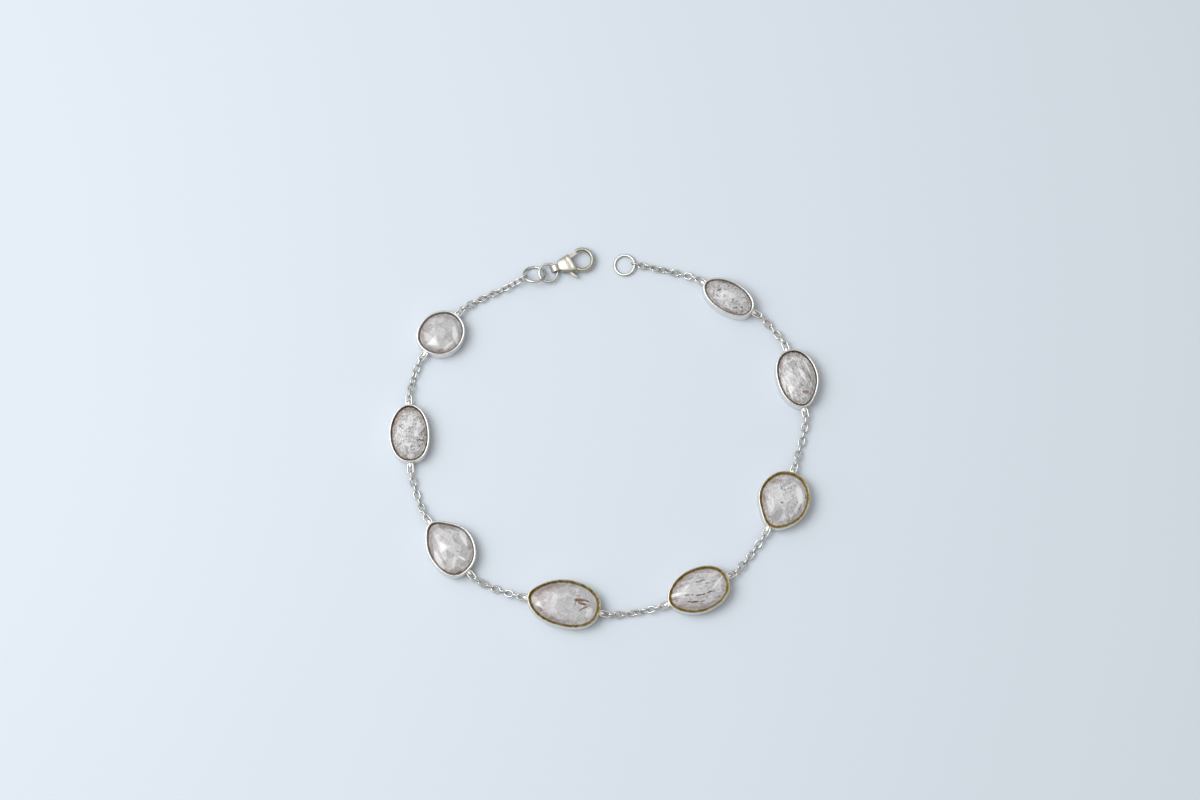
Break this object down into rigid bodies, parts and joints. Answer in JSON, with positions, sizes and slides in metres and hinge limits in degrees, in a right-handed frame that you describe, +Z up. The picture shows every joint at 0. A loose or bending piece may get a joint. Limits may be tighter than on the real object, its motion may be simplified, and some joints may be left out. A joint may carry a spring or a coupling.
{
  "type": "bezel chain bracelet",
  "caption": "Fine silver chain bracelet with rose-cut stones in bezels, a lobster clasp on jump rings and an end ring, lying open on a surface.",
  "frame": {"origin": "middle of the bracelet's outer box, on the surface that it lies on", "axes": "+Z up from the surface, +Y from the bracelet's middle towards its clasp, +X to the right of that seen from above"},
  "size_m": [0.0714, 0.0642, 0.0031],
  "materials": {
    "silver": "polished silver",
    "stone": "polished pale translucent stone with inclusions"
  },
  "bodies": {
    "bracelet": {"clasp_body": "silver", "lever_pin": "silver", "jump_ring_clasp": "silver", "jump_ring_chain": "silver", "end_ring": "silver", "chain_1": "silver", "chain_2": "silver", "chain_3": "silver", "chain_4": "silver", "chain_5": "silver", "chain_6": "silver", "chain_7": "silver", "chain_8": "silver", "chain_9": "silver", "bezel_1": "silver", "bezel_2": "silver", "bezel_3": "silver", "bezel_4": "silver", "bezel_5": "silver", "bezel_6": "silver", "bezel_7": "silver", "bezel_8": "silver", "stone_1": "stone", "stone_2": "stone", "stone_3": "stone", "stone_4": "stone", "stone_5": "stone", "stone_6": "stone", "stone_7": "stone", "stone_8": "stone"},
    "lever": {"clasp_lever": "silver"}
  },
  "joints": [
    {"name": "clasp_lever_hinge", "type": "hinge", "parent": "bracelet", "child": "lever", "pos_m": [-0.00619, 0.02955, 0.00105], "axis": [0, 0, 1], "range_deg": [-25, 0], "stiffness_Nm_per_rad": 0.0005, "springref_deg": 11.46}
  ]
}
